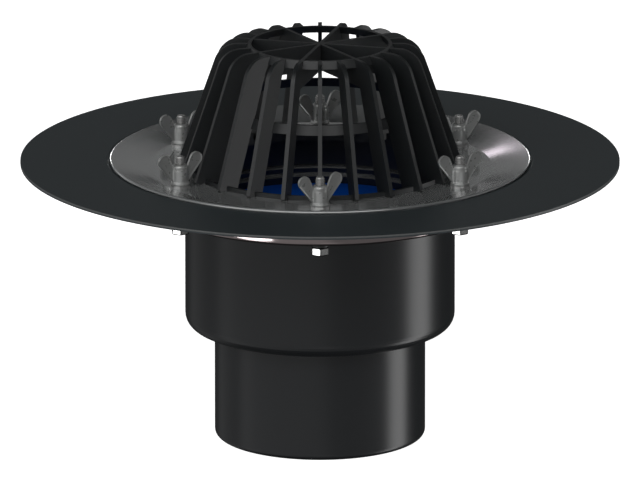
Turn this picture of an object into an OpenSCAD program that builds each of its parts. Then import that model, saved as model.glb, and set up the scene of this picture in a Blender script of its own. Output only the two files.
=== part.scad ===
// Flat roof drain with a clamped membrane collar and a ribbed leaf guard.
// Millimetres, +Z up, axis on Z. The drain stands on the end of its outlet spigot, at z = 0.

/* [Outlet spigot] */
// Outside diameter of the outlet spigot
spigot_d = 125; // [110:1:130]
// Wall of the spigot
spigot_wall = 4.8; // [4.6:0.1:7]
// Length of the spigot, from its end to the shoulder
spigot_l = 67; // [45:1:120]
// Rounding on the outside of the spigot's end
spigot_end_r = 3.8; // [1:0.1:4]

/* [Body tube] */
// Outside diameter of the wide tube
tube_d = 160; // [150:1:162]
// Wall of the wide tube
tube_wall = 5.5; // [4:0.1:7]
// Length of the wide tube, from the shoulder to the underside of the lower ring
tube_l = 75.3; // [65:0.1:130]
// Rounding on the outside of the shoulder
shoulder_r = 8.3; // [3:0.1:10]

/* [Hub and flange] */
// Width by which the throat flares out past the tube's outside
throat_flare = 3.5; // [2.5:0.1:5]
// Wall of the hub around the throat
hub_wall = 3; // [2.5:0.1:3.5]
// Height of the cone under the hub
neck_h = 5.2; // [4:0.1:9]
// Distance by which the flange ends short of the clamp ring's rim
flange_inset = 1.4; // [0:0.1:6]
// Thickness of the flange
flange_t = 4; // [3:0.1:5]
// Diameter of the boss round each bolt
boss_d = 13; // [11:0.5:16]

/* [Lower ring] */
// Distance from the bolts' circle to the lower ring's outside
lower_ring_lap = 8.3; // [7.5:0.1:12]
// Sheet thickness of the lower ring
lower_ring_t = 2; // [1.5:0.1:2.5]
// Inside radius of the bend at the lower ring's bottom edge
lower_ring_bend = 0.6; // [0.2:0.1:3]
// Height from the lower ring's underside to the collar's top face
stack_h = 26.2; // [24:0.1:40]

/* [Membrane collar] */
// Outside diameter of the collar
collar_d = 355; // [300:1:450]
// Thickness of the collar
collar_t = 1.8; // [1.2:0.1:2.5]
// Distance from the throat to the edge of the collar's hole
collar_hole_inset = 1.5; // [0.5:0.1:4]
// Width of the step where the collar dips under the clamp ring
collar_step = 1.8; // [1:0.1:4]

/* [Clamp ring] */
// Width of the clamp ring's cone, from its flat to its outer edge
ring_cone_w = 22.5; // [18:0.1:30]
// Overhang of the clamp ring's inner edge inside the throat
ring_lip = 4.2; // [3:0.1:6]
// Thickness of the clamp ring
ring_t = 2.2; // [1.6:0.1:3]
// Distance from the bolts' circle to the edge of the flat on which the nuts sit
ring_flat_lap = 6.8; // [6.5:0.1:9]
// Depth of that flat below the collar's top face
ring_dip = 4.3; // [3:0.1:7]
// Height of the clamp ring's rim above the collar's top face
ring_rise = 1.2; // [0.6:0.1:1.8]
// Rounding of the clamp ring's outer edge
ring_edge_r = 1.1; // [0.5:0.1:1.1]

/* [Seal] */
// Height of the seat ring's rim above its step
seat_rim_h = 1.2; // [1.1:0.1:4]
// Width of the ledge on which the seal lies
seal_ledge_w = 2.3; // [1.5:0.1:3]
// Depth of the seal's top below the lower ring
seal_depth = 8.6; // [7:0.1:12]
// Sheet thickness of the seat ring
seat_t = 1.1; // [0.8:0.1:1.3]
// Width of the seat ring's step
seat_step_w = 1.6; // [1.2:0.1:2.5]
// Thickness of the seal
seal_t = 3; // [2:0.1:5]
// Diameter of the hole in the seal
seal_hole_d = 80; // [60:1:100]
// Depth of the lip round the seal's hole
seal_lip_h = 6; // [3:0.5:12]

/* [Leaf guard] */
// Number of ribs
rib_count = 24; // [16:8:32]
// Thickness of a rib
rib_t = 2.4; // [1.6:0.1:3.2]
// Radial depth of a rib
rib_depth = 15.5; // [13:0.5:17]
// Distance by which a rib's foot reaches out over the clamp ring
rib_foot_lap = 5.9; // [4:0.1:6.5]
// Distance by which a rib's outer edge leans in, from its foot to the level of the crown
rib_lean = 26.3; // [22:0.1:30]
// Rounding of the ribs' shoulder
rib_round = 14.2; // [8:0.2:15]
// Height of the leaf guard's top above the collar
crown_z = 70.7; // [64:0.1:90]
// Distance from the crown ring's top edge to where a rib's edge would meet its level
crown_inset = 16.3; // [14:0.1:24]
// Height of the crown ring
crown_h = 4.5; // [3:0.1:6]
// Depth of the crossed plates inside the crown
cross_h = 15.8; // [8:0.2:20]
// Thickness of the crossed plates
cross_t = 2; // [1.4:0.1:3]
// Height of the middle ring's top above the collar
mid_z = 35.2; // [28:0.2:42]
// Height of the middle ring
mid_h = 5.5; // [4:0.1:8]
// Width by which the middle ring's top reaches into the ribs
mid_bite = 0.4; // [0.3:0.1:1]
// Thickness of the rings
guard_ring_t = 2; // [1.5:0.1:3]
// Height of the base ring
base_h = 7; // [5:0.1:12]
// Height of the base ring's top above the clamp ring
base_rise = 2.4; // [1:0.1:4]
// Height of the bevel at the ribs' feet
foot_h = 1; // [0.5:0.1:2]
// Depth to which the ribs hang inside the clamp ring
hang_h = 1; // [0.5:0.1:3]

/* [Fasteners] */
// Distance from the hub's outside to the bolts' circle
bolt_inset = 8.7; // [8:0.1:12]
// Diameter of a bolt
bolt_d = 5.9; // [5:0.1:6.2]
// Length of a bolt under its head
bolt_l = 42; // [38:1:50]
// Width of a bolt's head across its flats
head_w = 9.7; // [9:0.1:10.5]
// Height of a bolt's head
head_h = 5.2; // [3:0.1:6]
// Turn of a bolt's head from corner to the front
head_turn = 4; // [0:1:30]
// Angle of the chamfer on a bolt's head
head_chamfer = 32; // [20:1:45]
// Outside diameter of the washers under the wing nuts
washer_d = 12; // [11:0.1:12.5]
// Thickness of the washers under the wing nuts
washer_t = 1.6; // [1:0.1:2]
// Outside diameter of the washers at the bolts' heads
head_washer_d = 10; // [9:0.1:11]
// Thickness of the washers at the bolts' heads
head_washer_t = 1.4; // [1:0.1:2]

/* [Wing nuts] */
// Diameter of the nut's boss at its foot
nut_d = 11; // [10:0.1:12]
// Height of the nut's boss
nut_h = 9.8; // [8:0.1:12]
// Rounding of the boss's top
nut_round = 1.5; // [1:0.1:1.7]
// Height of the rim at the boss's foot
nut_foot_h = 1.2; // [0.6:0.1:2]
// Width of the step above that rim
nut_step = 0.7; // [0.3:0.1:1]
// Height of the middle of a wing's lobe above the nut's foot
wing_h = 14.6; // [13:0.1:16]
// Radius of a wing's lobe
wing_r = 4; // [3.4:0.1:4.1]
// Thickness of a wing
wing_t = 2; // [1.5:0.1:3]
// Turn of the wings about the bolt, from the X axis
wing_turn = 30; // [0:1:179]

/* [Clearances] */
// Gap between a part and the hole that it sits in, on the radius
seat_gap = 0.2; // [0.1:0.05:0.4]
// Gap between a bolt and the holes that it passes, on the radius
bolt_gap = 0.3; // [0.2:0.05:0.5]
// Gap between a bolt and its wing nut, on the radius
thread_gap = 0.05; // [0.02:0.01:0.1]
// Gap between the ribs and a wing that points at them
wing_gap = 1; // [0.6:0.1:3]

/* [Hidden] */
$fn = 120;

BLACK = [0.05, 0.05, 0.055];
RUBBER = [0.09, 0.095, 0.1];
STEEL = [0.72, 0.73, 0.74];
BLUE = [0.02, 0.14, 0.4];

bolt_count = 6;
first_bolt = -90;

// Levels, upwards from the spigot's end
shoulder_z = spigot_l;
ring_under_z = spigot_l + tube_l;
collar_z = ring_under_z + stack_h;
ring_flat_z = collar_z - ring_dip;
collar_dip_z = ring_flat_z - ring_t;
flange_dip_z = collar_dip_z - collar_t;

// Levels of the seal and its seat, downwards from the mouth of the body
hub_foot_z = ring_under_z - 2 * seat_gap;
seal_top_z = ring_under_z - seal_depth;
seal_ledge_z = seal_top_z - seal_t;
seat_top_z = hub_foot_z + seat_rim_h;

// Radii, outwards from the tubes
tube_r = tube_d / 2;
tube_bore_r = tube_r - tube_wall;
spigot_r = spigot_d / 2;
spigot_bore_r = spigot_r - spigot_wall;
shoulder_round = min(shoulder_r, (tube_r - spigot_r) / 2);
seal_pocket_r = tube_bore_r + seal_ledge_w;
throat_r = tube_r + throat_flare;
hub_r = throat_r + hub_wall;
bolt_r = bolt_d / 2;
hole_r = bolt_r + bolt_gap;
bolt_ring_r = hub_r + bolt_inset;
ring_hole_r = throat_r - ring_lip;
ring_flat_r = bolt_ring_r + ring_flat_lap;
ring_r = ring_flat_r + ring_cone_w;
ring_edge = min(ring_edge_r, ring_t / 2);
ring_rim_r = ring_r - ring_edge;
flange_r = ring_rim_r - flange_inset;
collar_hole_r = throat_r + collar_hole_inset;
lower_ring_r = bolt_ring_r + lower_ring_lap;
rib_foot_r = ring_hole_r + rib_foot_lap;
rib_crown_r = rib_foot_r - rib_lean;
crown_r = rib_crown_r - crown_inset;
ring_rim_z = collar_z + ring_rise;
nut_seat_z = ring_flat_z + washer_t;
head_z = ring_under_z - head_washer_t;

// Points on an arc of radius r about c, from angle a to angle b
function arc(c, r, a, b, n = 8) =
    [for (i = [0:n]) let (t = a + (b - a) * i / n) c + r * [cos(t), sin(t)]];

// The point where a line from p touches the circle of radius r about c
function tangent(p, c, r, side) =
    let (d = norm(c - p),
         t = atan2(c[1] - p[1], c[0] - p[0]) + side * asin(r / d))
    p + sqrt(d * d - r * r) * [cos(t), sin(t)];

// Copies its children at every bolt
module at_bolts() {
    for (i = [0:bolt_count - 1])
        rotate([0, 0, first_bolt + i * 360 / bolt_count])
            translate([bolt_ring_r, 0, 0])
                rotate([0, 0, -first_bolt - i * 360 / bolt_count])
                    children();
}

// Clearance holes through the stack, at every bolt
module bolt_holes() {
    at_bolts()
        translate([0, 0, ring_under_z - 1])
            cylinder(r = hole_r, h = stack_h + 2);
}

// --- Body: one moulding with a spigot, a wide tube, a hub and a flange

// The dished face on which the collar lies, as points from inner radius r0 to the flange's rim
function dish(r0, r1, drop) =
    let (slope = (ring_dip + ring_rise) / (ring_rim_r - ring_flat_r))
    [[r0, ring_flat_z - drop],
     [ring_flat_r, ring_flat_z - drop],
     [r1, ring_flat_z - drop + (r1 - ring_flat_r) * slope]];

function reversed(list) = [for (i = [len(list) - 1:-1:0]) list[i]];

module body_section() {
    floor_z = shoulder_z + tube_wall;
    inner_round = shoulder_round / 2;
    flange_drop = ring_t + collar_t;
    polygon(concat(
        // outside, upwards
        [[spigot_bore_r, 0]],
        arc([spigot_r - spigot_end_r, spigot_end_r], spigot_end_r, -90, 0),
        [[spigot_r, shoulder_z]],
        arc([tube_r - shoulder_round, shoulder_z + shoulder_round], shoulder_round, -90, 0),
        [[tube_r, hub_foot_z - neck_h], [hub_r, hub_foot_z]],
        dish(hub_r, flange_r, flange_drop + flange_t),
        reversed(dish(throat_r, flange_r, flange_drop)),
        // inside, downwards
        [[throat_r, hub_foot_z],
         [seal_pocket_r, hub_foot_z - neck_h],
         [seal_pocket_r, seal_ledge_z],
         [tube_bore_r, seal_ledge_z]],
        reversed(arc([tube_bore_r - inner_round, floor_z + inner_round], inner_round, -90, 0)),
        [[spigot_bore_r, floor_z - tube_wall / 2]]));
}

module drain_body() {
    boss_foot_z = ring_under_z + lower_ring_t + seat_gap / 2;
    color(BLACK)
        difference() {
            union() {
                rotate_extrude()
                    body_section();
                intersection() {
                    at_bolts()
                        translate([0, 0, boss_foot_z])
                            cylinder(d = boss_d, h = flange_dip_z - flange_t / 2 - boss_foot_z);
                    cylinder(r = lower_ring_r - lower_ring_t - lower_ring_bend - seat_gap,
                             h = collar_z);
                }
            }
            bolt_holes();
        }
}

// --- Lower ring: a pressed steel channel that carries the bolt heads

module lower_ring() {
    inner_r = hub_r + seat_gap;
    wall_r = lower_ring_r - lower_ring_t;
    rim_z = flange_dip_z - flange_t - seat_gap;
    bend = lower_ring_bend + lower_ring_t;
    bend_at = [lower_ring_r - bend, ring_under_z + bend];
    color(STEEL)
        difference() {
            rotate_extrude()
                polygon(concat(
                    [[inner_r, ring_under_z]],
                    arc(bend_at, bend, -90, 0),
                    [[lower_ring_r, rim_z], [wall_r, rim_z]],
                    arc(bend_at, lower_ring_bend, 0, -90),
                    [[inner_r, ring_under_z + lower_ring_t]]));
            bolt_holes();
        }
}

// --- Membrane collar: one flat sheet that dips under the clamp ring

module membrane_collar() {
    collar_r = collar_d / 2;
    dip_r = ring_r + seat_gap;
    foot = dish(collar_hole_r, ring_rim_r, ring_t);
    lift_z = foot[2][1];
    color(RUBBER)
        difference() {
            rotate_extrude()
                polygon(concat(
                    foot,
                    [[dip_r, lift_z], [dip_r + collar_step, collar_z], [collar_r, collar_z],
                     [collar_r, collar_z - collar_t],
                     [dip_r + collar_step + collar_t / 2, collar_z - collar_t],
                     [dip_r + collar_t / 2, lift_z - collar_t]],
                    reversed(dish(collar_hole_r, ring_rim_r, ring_t + collar_t))));
            bolt_holes();
        }
}

// --- Clamp ring: dished steel, flat under the nuts and conical out to a rounded edge

module clamp_ring() {
    top = dish(ring_hole_r, ring_rim_r, 0);
    under = dish(ring_hole_r, ring_rim_r, ring_t);
    color(STEEL)
        difference() {
            rotate_extrude()
                polygon(concat(
                    top,
                    arc([ring_rim_r, ring_rim_z - ring_edge], ring_edge, 90, 0, 6),
                    arc([ring_rim_r, ring_rim_z - ring_t + ring_edge], ring_edge, 0, -90, 6),
                    reversed(under)));
            bolt_holes();
        }
}

// --- Seal: a steel seat ring that holds a rubber seal on the ledge in the body's mouth

module seal_seat_ring() {
    rim_r = throat_r - seat_gap;
    step_z = hub_foot_z;
    step_r = rim_r - 2 * seat_t - seat_step_w;
    foot_r = seal_pocket_r - seat_gap;
    bore_r = foot_r - seat_t;
    color(STEEL)
        rotate_extrude()
            polygon([
                [bore_r, seal_top_z],
                [foot_r, seal_top_z],
                [foot_r, hub_foot_z - neck_h],
                [rim_r, step_z + seat_gap],
                [rim_r, seat_top_z - seat_t / 2],
                [rim_r - seat_t / 2, seat_top_z],
                [rim_r - seat_t, seat_top_z],
                [rim_r - 1.5 * seat_t, seat_top_z - seat_t / 2],
                [rim_r - 1.5 * seat_t, step_z + 2 * seat_gap],
                [step_r, step_z],
                [step_r, step_z - neck_h / 2],
                [bore_r, hub_foot_z - neck_h + seat_t]]);
}

module inlet_seal() {
    outer_r = seal_pocket_r - seat_gap;
    bore_r = seal_hole_d / 2;
    lip_t = seal_t / 2;
    color(BLUE)
        rotate_extrude()
            polygon([
                [bore_r, seal_top_z],
                [outer_r, seal_top_z],
                [outer_r, seal_ledge_z],
                [bore_r + 2 * lip_t, seal_ledge_z],
                [bore_r + lip_t / 2, seal_ledge_z - seal_lip_h],
                [bore_r - lip_t / 2, seal_ledge_z - seal_lip_h]]);
}

// --- Leaf guard: one moulding with ribs, three rings and crossed plates

// Radius of a rib's outer edge at height z above the collar
function rib_outer(z) = rib_crown_r + rib_lean * (crown_z - z) / (crown_z + ring_dip);

function rib_inner(z) = rib_outer(z) - rib_depth;

function crown_outer(z) = crown_r + (crown_z - z) / 2;

module rib_section() {
    seat_z = -ring_dip;
    hang_z = seat_z - hang_h;
    hang_r = ring_hole_r - seat_gap;
    join_z = crown_z - crown_h;
    lean = atan(rib_lean / (crown_z - seat_z));
    round_z = crown_z - rib_round;
    round_r = rib_outer(round_z) - rib_round / cos(lean);
    polygon(concat(
        [[rib_inner(hang_z), hang_z], [hang_r, hang_z], [hang_r, seat_z],
         [rib_foot_r - 2 * foot_h, seat_z], [rib_outer(seat_z + foot_h), seat_z + foot_h]],
        arc([round_r, round_z], rib_round, lean, 90, 10),
        [[crown_r - guard_ring_t / 2, crown_z],
         [crown_outer(join_z) - guard_ring_t / 2, join_z],
         [rib_inner(join_z - crown_h), join_z - crown_h]]));
}

// A ring with sloping walls: r0 and z0 at its foot, r1 and z1 at its top, outside
module sloped_ring(r0, z0, r1, z1) {
    rotate_extrude()
        polygon([[r0 - guard_ring_t, z0], [r0, z0], [r1, z1], [r1 - guard_ring_t, z1]]);
}

module leaf_guard() {
    crown_foot_z = crown_z - crown_h;
    mid_foot_z = mid_z - mid_h;
    base_r = ring_hole_r - 1.5 * seat_gap;
    base_top_z = base_rise - ring_dip;
    cross_foot_z = crown_z - cross_h;
    cross_foot_r = rib_inner(cross_foot_z) + cross_t;
    cross_top_r = crown_r - 0.7 * guard_ring_t;
    color(BLACK)
        translate([0, 0, collar_z])
            union() {
                for (i = [0:rib_count - 1])
                    rotate([0, 0, first_bolt + i * 360 / rib_count])
                        translate([0, rib_t / 2, 0])
                            rotate([90, 0, 0])
                                linear_extrude(rib_t)
                                    rib_section();
                for (i = [0:3])
                    rotate([0, 0, 2 * 360 / rib_count + i * 45])
                        translate([0, cross_t / 2, 0])
                            rotate([90, 0, 0])
                                linear_extrude(cross_t)
                                    polygon([[-cross_foot_r, cross_foot_z],
                                             [cross_foot_r, cross_foot_z],
                                             [cross_top_r, crown_z],
                                             [-cross_top_r, crown_z]]);
                sloped_ring(crown_outer(crown_foot_z), crown_foot_z, crown_r, crown_z);
                sloped_ring(rib_inner(mid_foot_z) + 3 * mid_bite, mid_foot_z,
                            rib_inner(mid_z) + mid_bite, mid_z);
                sloped_ring(base_r, base_top_z - base_h, base_r, base_top_z);
            }
}

// --- Fasteners

// Hexagon head with a chamfered face, and a plain shank with a chamfered end
module hex_bolt() {
    corner_r = head_w / sqrt(3);
    end_chamfer = bolt_d / 10;
    intersection() {
        rotate([0, 0, first_bolt + head_turn])
            translate([0, 0, -head_h])
                cylinder(r = corner_r, h = head_h, $fn = 6);
        translate([0, 0, -head_h])
            cylinder(r1 = head_w / 2, r2 = head_w / 2 + head_h / tan(head_chamfer), h = head_h);
    }
    rotate_extrude()
        polygon([[0, -head_h / 2], [bolt_r, -head_h / 2], [bolt_r, bolt_l - end_chamfer],
                 [bolt_r - end_chamfer, bolt_l], [0, bolt_l]]);
}

module hex_bolts() {
    color(STEEL)
        at_bolts()
            translate([0, 0, head_z])
                hex_bolt();
}

module washer(d, t) {
    difference() {
        cylinder(d = d, h = t);
        translate([0, 0, -1])
            cylinder(r = hole_r, h = t + 2);
    }
}

module bolt_washers() {
    color(STEEL)
        at_bolts()
            translate([0, 0, head_z])
                washer(head_washer_d, head_washer_t);
}

module nut_washers() {
    color(STEEL)
        at_bolts()
            translate([0, 0, ring_flat_z])
                washer(washer_d, washer_t);
}

// One wing, in the plane of the bolt's axis
module wing() {
    neck_r = nut_d / 2 - nut_step;
    root_r = (bolt_r + neck_r) / 2;
    reach = bolt_ring_r - rib_outer(nut_seat_z - collar_z + wing_h) - wing_gap - wing_r;
    lobe = [reach, wing_h];
    low = [neck_r, nut_foot_h];
    high = [neck_r - nut_round / 2, nut_h - nut_round / 2];
    rotate([90, 0, 0])
        translate([0, 0, -wing_t / 2])
            linear_extrude(wing_t)
                union() {
                    polygon([[root_r, nut_foot_h], low, tangent(low, lobe, wing_r, -1), lobe,
                             tangent(high, lobe, wing_r, 1), high,
                             [root_r, nut_h - nut_round]]);
                    translate(lobe)
                        circle(r = wing_r);
                }
}

module wing_nut() {
    foot_r = nut_d / 2;
    neck_r = foot_r - nut_step;
    difference() {
        union() {
            rotate_extrude()
                polygon(concat(
                    [[0, 0], [foot_r, 0], [foot_r, nut_foot_h], [neck_r, nut_foot_h + nut_step]],
                    arc([neck_r - nut_round, nut_h - nut_round], nut_round, 0, 90),
                    [[0, nut_h]]));
            wing();
            rotate([0, 0, 180])
                wing();
        }
        translate([0, 0, -1])
            cylinder(r = bolt_r + thread_gap, h = nut_h + 2);
    }
}

// The wing nut on the bolt of this number
module wing_nut_at(i) {
    a = first_bolt + i * 360 / bolt_count;
    color(STEEL)
        translate([bolt_ring_r * cos(a), bolt_ring_r * sin(a), nut_seat_z])
            rotate([0, 0, wing_turn])
                wing_nut();
}

drain_body();
lower_ring();
membrane_collar();
clamp_ring();
leaf_guard();
seal_seat_ring();
inlet_seal();
hex_bolts();
bolt_washers();
nut_washers();
wing_nut_at(0);  // wing_nut_1
wing_nut_at(1);  // wing_nut_2
wing_nut_at(2);  // wing_nut_3
wing_nut_at(3);  // wing_nut_4
wing_nut_at(4);  // wing_nut_5
wing_nut_at(5);  // wing_nut_6
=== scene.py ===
import bpy
import math

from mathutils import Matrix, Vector


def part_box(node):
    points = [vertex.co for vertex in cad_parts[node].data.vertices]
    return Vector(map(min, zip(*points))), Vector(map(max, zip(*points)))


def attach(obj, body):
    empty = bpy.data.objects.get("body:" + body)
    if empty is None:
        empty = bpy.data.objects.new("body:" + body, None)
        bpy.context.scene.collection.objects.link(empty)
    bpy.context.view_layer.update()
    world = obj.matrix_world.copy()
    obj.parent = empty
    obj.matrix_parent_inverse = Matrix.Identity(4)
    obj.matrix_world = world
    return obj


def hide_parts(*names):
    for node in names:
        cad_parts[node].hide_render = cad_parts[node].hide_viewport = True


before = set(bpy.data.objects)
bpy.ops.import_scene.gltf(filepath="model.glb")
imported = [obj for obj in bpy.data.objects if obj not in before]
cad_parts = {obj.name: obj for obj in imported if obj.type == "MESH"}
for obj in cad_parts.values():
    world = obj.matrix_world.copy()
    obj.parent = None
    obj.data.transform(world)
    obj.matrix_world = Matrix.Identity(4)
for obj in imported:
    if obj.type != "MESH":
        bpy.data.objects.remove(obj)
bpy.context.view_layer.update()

# ---------------------------------------------------------------- camera
# A very long lens, 15.1 degrees above the horizon, in front of the drain.
# It aims at a point on the drain's axis a little under the collar.
collar_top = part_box("membrane_collar")[1].z
lens_mm = 1000.0
sensor_mm = 36.0
view_width = 0.3794
view_tilt = math.radians(15.1)
view_distance = view_width * lens_mm / sensor_mm
aim_below_collar = 0.0497
view_target = collar_top - aim_below_collar
camera_data = bpy.data.cameras.new("long_lens")
camera_data.lens = lens_mm
camera_data.sensor_width = sensor_mm
camera_data.clip_start = 0.5
camera_data.clip_end = 60.0
camera = bpy.data.objects.new("camera", camera_data)
bpy.context.scene.collection.objects.link(camera)
camera.location = (0, -view_distance * math.cos(view_tilt),
                   view_target + view_distance * math.sin(view_tilt))
camera.rotation_euler = (math.pi / 2 - view_tilt, 0, 0)
bpy.context.scene.camera = camera
bpy.context.scene.view_settings.view_transform = "Standard"


# ---------------------------------------------------------------- studio light
# A studio that looks white but lights dimly, with soft boxes round the drain that the steel
# reflects: a broad one high in front, long low ones on the left, a tall narrow one on the right
# and a faint long one behind.
def add_node(tree, kind, inputs, **settings):
    """Adds a node, sets it, and gives each input its value or the socket that feeds it."""
    node = tree.nodes.new(kind)
    for name, value in settings.items():
        setattr(node, name, value)
    for key, value in inputs.items():
        if isinstance(value, bpy.types.NodeSocket):
            tree.links.new(value, node.inputs[key])
        else:
            node.inputs[key].default_value = value
    return node.outputs


def maths(tree, operation, *values):
    """The result of a sum on numbers and sockets."""
    return add_node(tree, "ShaderNodeMath", dict(enumerate(values)), operation=operation)[0]


def vector_maths(tree, operation, *values):
    """The results of a sum on vectors and sockets."""
    return add_node(tree, "ShaderNodeVectorMath", dict(enumerate(values)), operation=operation)


def scaled(tree, colour, factor):
    """A colour times a number or a socket."""
    return add_node(tree, "ShaderNodeVectorMath", {0: colour, "Scale": factor}, operation="SCALE")[0]


def blend(tree, source, low, high, low_value=0.0, high_value=1.0):
    """A smooth change from one value to another between two levels of a source."""
    levels = {"Value": source, "From Min": low, "From Max": high,
              "To Min": low_value, "To Max": high_value}
    return add_node(tree, "ShaderNodeMapRange", levels, interpolation_type="SMOOTHSTEP")["Result"]


def direction(turn, rise):
    """The direction turn degrees to the right of the front and rise degrees up."""
    a, e = math.radians(turn), math.radians(rise)
    return math.sin(a) * math.cos(e), -math.cos(a) * math.cos(e), math.sin(e)


def sky_along(axis):
    """How far the sky's direction goes along an axis."""
    return vector_maths(sky, "DOT_PRODUCT", sky_direction, axis)["Value"]


def soft_box(turn, rise, half_width, half_height, soft, strength):
    """A soft box in a direction. Its half sizes and its edges' softness are in degrees."""
    barely_ahead = 0.001
    ahead = maths(sky, "MAXIMUM", sky_along(direction(turn, rise)), barely_ahead)
    glow = strength
    for side, half in ((direction(turn + 90, 0), half_width),
                       (direction(turn, rise + 90), half_height)):
        off = maths(sky, "DIVIDE", maths(sky, "ABSOLUTE", sky_along(side)), ahead)
        outer = math.tan(math.radians(half + soft / 2))
        inner = math.tan(math.radians(half - soft / 2))
        glow = maths(sky, "MULTIPLY", blend(sky, off, outer, inner), glow)
    return scaled(sky, (1, 1, 1), glow)


studio = bpy.data.worlds.new("studio")
bpy.context.scene.world = studio
studio.use_nodes = True
sky = studio.node_tree
sky.nodes.clear()
sky_direction = add_node(sky, "ShaderNodeTexCoord", {})["Generated"]
sky_glow = scaled(sky, (0.95, 0.99, 1.0), 0.035)
for light_box in (
    soft_box(turn=-15, rise=42, half_width=44, half_height=15, soft=12, strength=2.1),
    soft_box(turn=-40, rise=11, half_width=40, half_height=10, soft=10, strength=1.2),
    soft_box(turn=-115, rise=11, half_width=34, half_height=10, soft=10, strength=0.6),
    soft_box(turn=-45, rise=-30, half_width=48, half_height=26, soft=12, strength=0.36),
    soft_box(turn=-114, rise=-26, half_width=30, half_height=22, soft=12, strength=0.155),
    soft_box(turn=38, rise=-30, half_width=32, half_height=26, soft=12, strength=0.22),
    soft_box(turn=94.5, rise=-20, half_width=12, half_height=24, soft=8, strength=2.85),
    soft_box(turn=100, rise=11, half_width=24, half_height=9, soft=10, strength=0.35),
    soft_box(turn=180, rise=16, half_width=55, half_height=10, soft=10, strength=0.16),
):
    sky_glow = vector_maths(sky, "ADD", sky_glow, light_box)["Vector"]
sky_light = add_node(sky, "ShaderNodeBackground", {"Color": sky_glow})[0]
sky_seen = add_node(sky, "ShaderNodeBackground", {"Color": (1, 1, 1, 1)})[0]
is_seen = add_node(sky, "ShaderNodeLightPath", {})["Is Camera Ray"]
sky_both = add_node(sky, "ShaderNodeMixShader", {"Fac": is_seen, 1: sky_light, 2: sky_seen})[0]
add_node(sky, "ShaderNodeOutputWorld", {"Surface": sky_both})

# ---------------------------------------------------------------- floor
# A plain pale studio floor, close to white, that reaches past the view on all sides. It glows
# evenly and takes no shadow, as a floor lit from below does.
bpy.ops.object.select_all(action="DESELECT")
bpy.ops.mesh.primitive_plane_add(size=12)
floor = bpy.context.object
floor.name = "floor"
floor_paint = bpy.data.materials.new("pale_floor")
floor_paint.use_nodes = True
floor_shader = floor_paint.node_tree.nodes["Principled BSDF"]
floor_shader.inputs["Base Color"].default_value = (0.9, 0.9, 0.9, 1)
floor_shader.inputs["Roughness"].default_value = 0.9
floor_shader.inputs["Specular IOR Level"].default_value = 0.0
floor_shader.inputs["Emission Color"].default_value = (1, 1, 1, 1)
floor_shader.inputs["Emission Strength"].default_value = 1.0
floor.data.materials.append(floor_paint)
floor.visible_glossy = False
floor.visible_diffuse = False
floor.visible_shadow = False


# ---------------------------------------------------------------- drain body
# Black polypropylene, moulded in one piece with a satin skin. The flange under the collar,
# the wide tube and the outlet spigot are one part, so one material covers them all.
def marks(tree, scale, detail, stretch=(1, 1, 1)):
    """Irregular marks that stay on the piece, drawn out across the axis with the high stretch."""
    place = add_node(tree, "ShaderNodeTexCoord", {})["Object"]
    run = add_node(tree, "ShaderNodeMapping", {"Vector": place, "Scale": stretch})["Vector"]
    return add_node(tree, "ShaderNodeTexNoise", {"Vector": run, "Scale": scale, "Detail": detail})["Fac"]


def shader_of(material):
    """The sockets of a material's shader."""
    return material.node_tree.nodes["Principled BSDF"].inputs


def varied(material, colour, spread, tone, gloss, roughnesses, grain, strength, depth):
    """Varies a material's colour with its tone, its roughness with its gloss, its bump with its grain."""
    tree = material.node_tree
    dark = [c * (1 - spread) for c in colour] + [1]
    light = [c * (1 + spread) for c in colour] + [1]
    smoothest, roughest = roughnesses
    levels = {"Value": gloss, "To Min": smoothest, "To Max": roughest}
    relief = {"Height": grain, "Strength": strength, "Distance": depth}
    results = {
        "Base Color": add_node(tree, "ShaderNodeMix", {0: tone, 6: dark, 7: light}, data_type="RGBA")[2],
        "Roughness": add_node(tree, "ShaderNodeMapRange", levels)["Result"],
        "Normal": add_node(tree, "ShaderNodeBump", relief)["Normal"],
    }
    for socket, result in results.items():
        tree.links.new(result, shader_of(material)[socket])


def moulded(name, colour, roughness, grain, depth, patch=18.0, spread=0.12, specular=0.5):
    """A moulded or calendered surface: faint patches of tone and gloss over a fine grain."""
    material = bpy.data.materials.new(name)
    material.use_nodes = True
    patches = marks(material.node_tree, scale=patch, detail=3.0)
    skin = marks(material.node_tree, scale=grain, detail=2.0)
    roughnesses = (roughness * (1 - spread / 2), roughness * (1 + spread / 2))
    varied(material, colour, spread, tone=patches, gloss=patches, roughnesses=roughnesses,
           grain=skin, strength=0.35, depth=depth)
    shader_of(material)["Specular IOR Level"].default_value = specular
    return material


def finish_node(node, material):
    """Gives a CAD node its material and leaves its shape as it is."""
    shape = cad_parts[node]
    shape.data.materials.clear()
    shape.data.materials.append(material)


finish_node("drain_body", moulded("black_satin_body", colour=(0.0125, 0.0138, 0.0155), roughness=0.28,
                                  grain=900, depth=0.00004))


# ---------------------------------------------------------------- lower ring
# A channel pressed from stainless sheet and polished. It lies under the flange and
# carries the heads of the bolts.
def steel(name, colour, roughness, grain, depth, stretch=(1, 1, 1), spread=0.08, bare=1.0):
    """Stainless steel with faint rolling or polishing marks, less bare where a dull film covers it."""
    material = bpy.data.materials.new(name)
    material.use_nodes = True
    polish = marks(material.node_tree, scale=grain, detail=4.0, stretch=stretch)
    patches = marks(material.node_tree, scale=30.0, detail=2.0)
    varied(material, colour, spread, tone=patches, gloss=polish,
           roughnesses=(roughness * 0.85, roughness * 1.2), grain=polish, strength=0.25, depth=depth)
    shader_of(material)["Metallic"].default_value = bare
    return material


finish_node("lower_ring", steel("polished_ring_steel", colour=(0.28, 0.24, 0.24), roughness=0.1,
                                grain=60, depth=0.00001, stretch=(1, 1, 14)))


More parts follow.
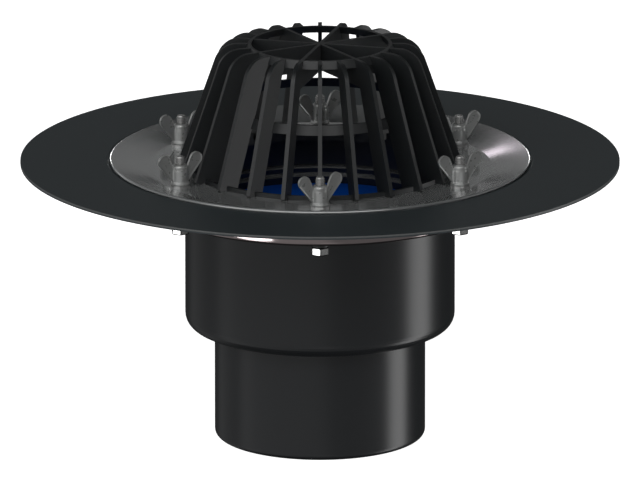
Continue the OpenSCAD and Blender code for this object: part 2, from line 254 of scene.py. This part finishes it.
# ---------------------------------------------------------------- membrane collar
# A smooth dark grey sheet, die-cut to a disc and pressed down where the clamp ring grips it.
# A paler band is painted along the rim, from the top of the cut edge down to about 1 mm below it.
def place_on(tree):
    """The X, Y and Z of the shaded point."""
    place = add_node(tree, "ShaderNodeTexCoord", {})["Object"]
    return add_node(tree, "ShaderNodeSeparateXYZ", {0: place})


def from_axis(tree):
    """The distance of the shaded point from the drain's axis."""
    place = add_node(tree, "ShaderNodeTexCoord", {})["Object"]
    level = vector_maths(tree, "MULTIPLY", place, (1, 1, 0))["Vector"]
    return vector_maths(tree, "LENGTH", level)["Value"]


def recolour(material, mask, colour, where):
    """Shows a colour instead of a material's own, either where the mask is 0 or where it is 1."""
    socket = shader_of(material)["Base Color"]
    colours = [socket.links[0].from_socket, socket.links[0].from_socket]
    colours[where] = colour + (1,)
    inputs = {0: mask, 6: colours[0], 7: colours[1]}
    mixed = add_node(material.node_tree, "ShaderNodeMix", inputs, data_type="RGBA")[2]
    material.node_tree.links.new(mixed, socket)


collar_sheet = moulded("collar_sheet", colour=(0.0275, 0.036, 0.0395), roughness=0.5, grain=700,
                       depth=0.00005, patch=9.0, spread=0.1)
tree = collar_sheet.node_tree
pale_depth = 0.0003
pale_height = 0.0011
fade = 0.0002
pale_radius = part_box("membrane_collar")[1].x - pale_depth
pale_foot = collar_top - pale_height
at_rim = blend(tree, from_axis(tree), pale_radius, pale_radius + fade)
at_top = blend(tree, place_on(tree)["Z"], pale_foot, pale_foot + 2 * fade)
# Paints the outer rim, down to about 1 mm below the top, a paler grey.
recolour(collar_sheet, maths(tree, "MULTIPLY", at_rim, at_top), (0.11, 0.115, 0.115), where=1)
finish_node("membrane_collar", collar_sheet)

# ---------------------------------------------------------------- clamp ring
# Stainless sheet, pressed to a flat for the nuts and a shallow cone with a rolled rim. The
# polish of the flat fades to a duller finish towards the rim.
ring_steel = steel("clamp_ring_steel", colour=(0.385, 0.395, 0.395), roughness=0.1, grain=60,
                   depth=0.0000002, spread=0.05, bare=0.66)
tree = ring_steel.node_tree
polished_radius = 0.108
dull_radius = 0.122
added_roughness = 0.09
dulling = blend(tree, from_axis(tree), polished_radius, dull_radius, high_value=added_roughness)
ring_roughness = shader_of(ring_steel)["Roughness"]
tree.links.new(maths(tree, "ADD", dulling, ring_roughness.links[0].from_socket), ring_roughness)
finish_node("clamp_ring", ring_steel)


# ---------------------------------------------------------------- seal seat ring
# A thin rolled steel ring, dropped into the mouth of the body to keep the seal in place.
# Its walls are painted dark as painted shade, so the edges and steps that face up show as painted
# highlights.
def facing(tree):
    """The X, Y and Z of the direction that the surface faces."""
    normal = add_node(tree, "ShaderNodeNewGeometry", {})["Normal"]
    return add_node(tree, "ShaderNodeSeparateXYZ", {0: normal})


seat_steel = steel("seat_ring_steel", colour=(0.62, 0.63, 0.64), roughness=0.22, grain=200,
                   depth=0.00001, stretch=(1, 1, 6), bare=0.8)
tree = seat_steel.node_tree
slanted = 0.6
nearly_level = 0.95
up_facing_highlight = blend(tree, facing(tree)["Z"], slanted, nearly_level)
# Painted shade: near-black on the walls, leaving the up-facing edges and steps bright as painted
# highlights.
recolour(seat_steel, up_facing_highlight, (0.05, 0.053, 0.055), where=0)
finish_node("seal_seat_ring", seat_steel)

# ---------------------------------------------------------------- inlet seal
# Blue elastomer, moulded in one piece with a lip round its hole. It lies loose on the seat
# ring's ledge and lifts out once the leaf guard is off.
finish_node("inlet_seal", moulded("blue_elastomer", colour=(0.0, 0.085, 0.5), roughness=0.5, grain=800,
                                  depth=0.00004, patch=25.0, spread=0.1, specular=0.03))

# ---------------------------------------------------------------- leaf guard
# Black ribs, rings and crossed plates in one moulding with a dull, slightly grained skin. It
# drops into the clamp ring's hole and lifts out by hand.
finish_node("leaf_guard", moulded("black_matt_guard", colour=(0.0108, 0.0125, 0.0135), roughness=0.44,
                                  grain=800, depth=0.00005, patch=30.0))

# ---------------------------------------------------------------- washers
# Plain stamped washers of stainless steel: bright ones under the wing nuts, and ones between the bolts'
# heads and the lower ring that are painted near-black as painted shade, where they sit in the ring's
# shadow.
bolt_steel = steel("bolt_steel", colour=(0.45, 0.45, 0.445), roughness=0.2, grain=500, depth=0.00002,
                   bare=0.7)
finish_node("nut_washers", bolt_steel)
# Painted shade: these stainless washers are coloured near-black because they sit in the ring's shadow.
finish_node("bolt_washers", steel("washer_steel_painted_shade", colour=(0.05, 0.053, 0.053), roughness=0.4,
                                  grain=500, depth=0.00001, spread=0.1, bare=0.7))


# ---------------------------------------------------------------- bolt heads
# Stainless hexagon bolts, pushed up through the stack from below. The forged heads have rounded edges, a
# cone-shaped chamfer, and a round neck against the washer; the edges, the foot and the neck are painted
# dark as painted shade and painted dark reflection. One head is made, then copied to every bolt.
def pick(piece):
    """Selects one object alone and makes it active."""
    bpy.ops.object.select_all(action="DESELECT")
    piece.select_set(True)
    bpy.context.view_layer.objects.active = piece


def place_in_mesh(piece):
    """Moves a piece's place from the object to its mesh."""
    pick(piece)
    bpy.ops.object.transform_apply(location=True, rotation=False, scale=False)


def apply_all(piece):
    """Turns a piece's modifiers into its mesh."""
    pick(piece)
    for modifier in list(piece.modifiers):
        bpy.ops.object.modifier_apply(modifier=modifier.name)


def merge(piece, distance):
    """Welds a piece's points where its faces meet."""
    pick(piece)
    bpy.ops.object.mode_set(mode="EDIT")
    bpy.ops.mesh.select_all(action="SELECT")
    bpy.ops.mesh.remove_doubles(threshold=distance)
    bpy.ops.object.mode_set(mode="OBJECT")


def cut_by(piece, tool, operation):
    """Cuts a piece with another, which is then removed."""
    cutting = piece.modifiers.new("cut", "BOOLEAN")
    cutting.operation = operation
    cutting.object = tool
    apply_all(piece)
    bpy.data.objects.remove(tool)
    merge(piece, distance=0.00001)


def rounded(piece, width, segments, sharper_than):
    """Bevels a piece's edges that are sharper than an angle in degrees."""
    bevel = piece.modifiers.new("rounded", "BEVEL")
    bevel.width = width
    bevel.segments = segments
    bevel.limit_method = "ANGLE"
    bevel.angle_limit = math.radians(sharper_than)
    apply_all(piece)


def choose(piece, mode, wanted):
    """Selects the edges or faces of a piece that are wanted."""
    pick(piece)
    bpy.ops.object.mode_set(mode="EDIT")
    bpy.ops.mesh.select_mode(type=mode)
    bpy.ops.mesh.select_all(action="DESELECT")
    bpy.ops.object.mode_set(mode="OBJECT")
    for element in piece.data.edges if mode == "EDGE" else piece.data.polygons:
        element.select = wanted(element)
    bpy.ops.object.mode_set(mode="EDIT")


def join_to(piece, others):
    """Joins other pieces to a piece."""
    pick(piece)
    for other in others:
        other.select_set(True)
    bpy.ops.object.join()


def bolt_axis(number):
    """The point in the middle of a wing nut, which is on its bolt's axis."""
    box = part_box("wing_nut_%d" % number)
    return (box[0] + box[1]) / 2


def ends_low(edge):
    """Whether an edge of the hexagon stands on its lower face or lies in it."""
    return min(bolt_head.data.vertices[i].co.z for i in edge.vertices) < 0


def on_bolts(height):
    """The six points on the bolts' axes at a height."""
    return [Vector((bolt_axis(i).x, bolt_axis(i).y, height)) for i in range(1, 7)]


def copies_at(first, name, places):
    """Puts a piece at the first place and copies, each with its own mesh, at the others."""
    pieces = [first]
    for number, place in enumerate(places[1:], 2):
        piece = bpy.data.objects.new(name % number, first.data.copy())
        bpy.context.scene.collection.objects.link(piece)
        pieces.append(piece)
    for piece, place in zip(pieces, places):
        piece.location = place
        place_in_mesh(piece)
    return pieces


def dress(piece, material, body):
    """Gives a piece its material and its body."""
    piece.data.materials.clear()
    piece.data.materials.append(material)
    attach(piece, body)


bolt_low, bolt_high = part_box("hex_bolts")
head_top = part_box("bolt_washers")[0].z
flats = 6
head_flats = 0.0097
head_turn = math.radians(4)
chamfer_rise = math.tan(math.radians(32))
edge_bevel = 0.00045
neck_height = 0.0008
neck_radius = 0.0044
hexagon_height = head_top - bolt_low.z - neck_height

bpy.ops.object.select_all(action="DESELECT")
bpy.ops.mesh.primitive_cylinder_add(vertices=flats, radius=head_flats / math.sqrt(3),
                                    depth=hexagon_height, rotation=(0, 0, head_turn))
bolt_head = bpy.context.object
bolt_head.name = "bolt_head_1"
bpy.ops.object.transform_apply(location=False, rotation=True, scale=False)
choose(bolt_head, "EDGE", ends_low)
bpy.ops.mesh.bevel(offset=edge_bevel, segments=2)
bpy.ops.object.mode_set(mode="OBJECT")
bpy.ops.object.select_all(action="DESELECT")
bpy.ops.mesh.primitive_cone_add(vertices=96, radius1=head_flats / 2,
                                radius2=head_flats / 2 + hexagon_height / chamfer_rise,
                                depth=hexagon_height)
cut_by(bolt_head, bpy.context.object, "INTERSECT")
bpy.ops.object.select_all(action="DESELECT")
bpy.ops.mesh.primitive_cylinder_add(vertices=64, radius=neck_radius, depth=2 * neck_height,
                                    location=(0, 0, hexagon_height / 2))
neck = bpy.context.object
place_in_mesh(neck)
join_to(bolt_head, [neck])
bpy.ops.object.shade_smooth_by_angle(angle=math.radians(10))

# Painted shade: the steel keeps its own colour only on the six upright flats; the edges, a band at the
# foot and a band below the neck are painted near-black, standing for shade and dark reflections.
forged_steel = steel("forged_head_steel", colour=(0.43, 0.43, 0.425), roughness=0.15, grain=500,
                     depth=0.00001, bare=0.75)
tree = forged_steel.node_tree
side = facing(tree)
height = place_on(tree)["Z"]
around = maths(tree, "SUBTRACT", maths(tree, "ARCTAN2", side["Y"], side["X"]), head_turn)
on_flat = blend(tree, maths(tree, "COSINE", maths(tree, "MULTIPLY", around, flats)), 0.5, 0.9)
upright = blend(tree, side["Z"], -0.4, -0.2)
foot_height = 0.0006
neck_foot = head_top - neck_height
foot_shade_top = bolt_low.z + foot_height
below_neck = blend(tree, height, neck_foot - fade, neck_foot, low_value=1.0, high_value=0.0)
above_foot = blend(tree, height, foot_shade_top, foot_shade_top + fade)
unshaded_flats = on_flat
for mask in (upright, below_neck, above_foot):
    unshaded_flats = maths(tree, "MULTIPLY", unshaded_flats, mask)
# Paints near-black shade and dark reflection wherever the mask of lit flats is 0.
recolour(forged_steel, unshaded_flats, (0.004, 0.0042, 0.0042), where=0)

heads = copies_at(bolt_head, "bolt_head_%d", on_bolts(bolt_low.z + hexagon_height / 2))
for piece in heads:
    dress(piece, forged_steel, "drain")
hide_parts("hex_bolts")

# ---------------------------------------------------------------- bolt shanks
# The bolts' shanks, plain up into the wing nuts and then rolled to a thread: a core with a
# chamfered end and one helical ridge of 1 mm pitch. One is made, then copied to every bolt.
nut_low, nut_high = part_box("wing_nut_1")
bolt_radius = 0.00295
thread_foot = nut_low.z + 0.4 * (nut_high.z - nut_low.z)
pitch = 0.001
thread_depth = 0.0005
ridge_half_width = 0.45 * pitch
ridge_start = thread_foot + 0.6 * pitch
core_radius = bolt_radius - thread_depth

bpy.ops.object.select_all(action="DESELECT")
bpy.ops.mesh.primitive_cylinder_add(vertices=40, radius=core_radius, depth=bolt_high.z - thread_foot,
                                    location=(0, 0, (bolt_high.z + thread_foot) / 2))
core = bpy.context.object
rounded(core, width=0.0007, segments=3, sharper_than=60)
place_in_mesh(core)

bpy.ops.object.select_all(action="DESELECT")
bpy.ops.mesh.primitive_cylinder_add(vertices=48, radius=bolt_radius, depth=thread_foot - head_top,
                                    location=(0, 0, (thread_foot + head_top) / 2))
shank = bpy.context.object
shank.name = "bolt_shank_1"
place_in_mesh(shank)

bpy.ops.object.select_all(action="DESELECT")
bpy.ops.mesh.primitive_circle_add(vertices=4, radius=1, fill_type="NOTHING")
ridge = bpy.context.object
bpy.ops.object.mode_set(mode="EDIT")
bpy.ops.mesh.select_all(action="SELECT")
bpy.ops.transform.rotate(value=math.pi / 2, orient_axis="X", center_override=(0, 0, 0))
bpy.ops.transform.resize(value=(thread_depth, 1, ridge_half_width), center_override=(0, 0, 0))
bpy.ops.transform.translate(value=(core_radius, 0, ridge_start))
bpy.ops.object.mode_set(mode="OBJECT")
screw = ridge.modifiers.new("helix", "SCREW")
screw.axis = "Z"
screw.screw_offset = pitch
screw.iterations = int((bolt_high.z - thread_foot) / pitch) - 1
screw.steps = screw.render_steps = 32
apply_all(ridge)
bpy.ops.object.mode_set(mode="EDIT")
bpy.ops.mesh.select_all(action="SELECT")
bpy.ops.mesh.fill_holes(sides=4)
bpy.ops.mesh.normals_make_consistent(inside=False)
bpy.ops.object.mode_set(mode="OBJECT")
join_to(shank, [ridge, core])
bpy.ops.object.shade_smooth_by_angle(angle=math.radians(35))
shanks = copies_at(shank, "bolt_shank_%d", on_bolts(0))
for piece in shanks:
    dress(piece, bolt_steel, "drain")

# ---------------------------------------------------------------- wing nuts
# Die-cast wing nuts of stainless steel, run down on to their washers by hand. The casting has
# a rim round each wing, a domed barrel and round edges, so the CAD shape's wings are inset, it
# is joined with a tapered barrel, remeshed finely, relaxed, and bored again for the bolt.
first_axis = bolt_axis(1)
dome_foot = nut_low.z + 0.0012
dome_top = nut_low.z + 0.66 * (nut_high.z - nut_low.z)
dome_foot_radius = 0.0049
dome_top_radius = 0.0045
bpy.ops.object.select_all(action="DESELECT")
bpy.ops.mesh.primitive_cone_add(vertices=48, radius1=dome_foot_radius, radius2=dome_top_radius,
                                depth=dome_top - dome_foot,
                                location=(first_axis.x, first_axis.y, (dome_foot + dome_top) / 2))
dome = bpy.context.object
rounded(dome, width=0.0018, segments=4, sharper_than=40)
place_in_mesh(dome)

nut = bpy.data.objects.new("cast_wing_nut_1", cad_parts["wing_nut_1"].data.copy())
bpy.context.scene.collection.objects.link(nut)
pick(nut)
bpy.ops.mesh.customdata_custom_splitnormals_clear()
merge(nut, distance=0.000001)
wing_turn = math.radians(30)
wing_side = Vector((-math.sin(wing_turn), math.cos(wing_turn), 0))
wing_half_thickness = 0.001
rim_width = 0.0009
rim_height = 0.0004
tolerance = 0.00005


def is_wing_face(face):
    """Whether a face is one of the two flat sides of a wing."""
    off_middle = abs((face.center - first_axis).dot(wing_side))
    faces_sideways = abs(face.normal.dot(wing_side)) > 0.999
    return faces_sideways and abs(off_middle - wing_half_thickness) < tolerance


choose(nut, "FACE", is_wing_face)
bpy.ops.mesh.inset(thickness=rim_width, depth=-rim_height)
bpy.ops.object.mode_set(mode="OBJECT")
join_to(nut, [dome])
remesh = nut.modifiers.new("fine_mesh", "REMESH")
remesh.mode = "VOXEL"
remesh.voxel_size = 0.00022
relax = nut.modifiers.new("round_edges", "SMOOTH")
relax.factor = 0.5
relax.iterations = 6
apply_all(nut)
bore_radius = bolt_radius + 0.00005
bore_length = 0.03
bpy.ops.object.select_all(action="DESELECT")
bpy.ops.mesh.primitive_cylinder_add(vertices=48, radius=bore_radius, depth=bore_length,
                                    location=(first_axis.x, first_axis.y, dome_top))
cut_by(nut, bpy.context.object, "DIFFERENCE")
bpy.ops.object.shade_smooth_by_angle(angle=math.radians(50))

cast_steel = steel("cast_nut_steel", colour=(0.3, 0.305, 0.3), roughness=0.28, grain=400, depth=0.00001,
                   spread=0.1, bare=0.42)
shader_of(cast_steel)["Coat Weight"].default_value = 0.6
shader_of(cast_steel)["Coat Roughness"].default_value = 0.08
nuts = copies_at(nut, "cast_wing_nut_%d", [bolt_axis(i) - first_axis for i in range(1, 7)])
for number, piece in enumerate(nuts, 1):
    dress(piece, cast_steel, "wing_nut_%d" % number)
    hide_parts("wing_nut_%d" % number)


# ---------------------------------------------------------------- flagged lights
# Distant soft lights with flags round them, so that each reaches only a few parts: the leaf
# guard's ribs, the bright steel under the collar, the glint on the clamp ring's cone, that
# ring's rolled rim on either side, and specks on the wing nuts.
def flagged_light(name, turn, rise, width, strength, pieces, shadow, colour=(1, 1, 1)):
    """A round soft light that lights only the given pieces."""
    towards = Vector(direction(turn, rise))
    lamp_data = bpy.data.lights.new(name, "SUN")
    lamp_data.angle = math.radians(width)
    lamp_data.energy = strength
    lamp_data.color = colour
    lamp_data.use_shadow = shadow
    lamp_data.cycles.use_multiple_importance_sampling = shadow
    lamp = bpy.data.objects.new(name, lamp_data)
    bpy.context.scene.collection.objects.link(lamp)
    lamp.location = 2 * towards
    lamp.rotation_euler = towards.to_track_quat("Z", "Y").to_euler()
    lit = bpy.data.collections.new(name + "_lights")
    for piece in pieces:
        lit.objects.link(piece)
    lamp.light_linking.receiver_collection = lit


guard = [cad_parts["leaf_guard"]]
bright_steel = [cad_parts["lower_ring"]] + heads
ring = [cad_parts["clamp_ring"]]
flagged_light("rib_light", turn=97, rise=-15, width=28, strength=0.34, pieces=guard, shadow=False)
flagged_light("steel_light", turn=-44, rise=-15, width=23, strength=1.0, pieces=bright_steel, shadow=True)
flagged_light("glint_light", turn=188, rise=20.5, width=3.4, strength=0.0065, pieces=ring, shadow=True,
              colour=(1, 0.88, 0.97))
flagged_light("left_rim_light", turn=193, rise=2, width=10, strength=0.36, pieces=ring, shadow=True)
flagged_light("right_rim_light", turn=167, rise=2, width=10, strength=0.36, pieces=ring, shadow=True)
flagged_light("nut_light", turn=-20, rise=46, width=5, strength=0.2, pieces=nuts + shanks, shadow=False)
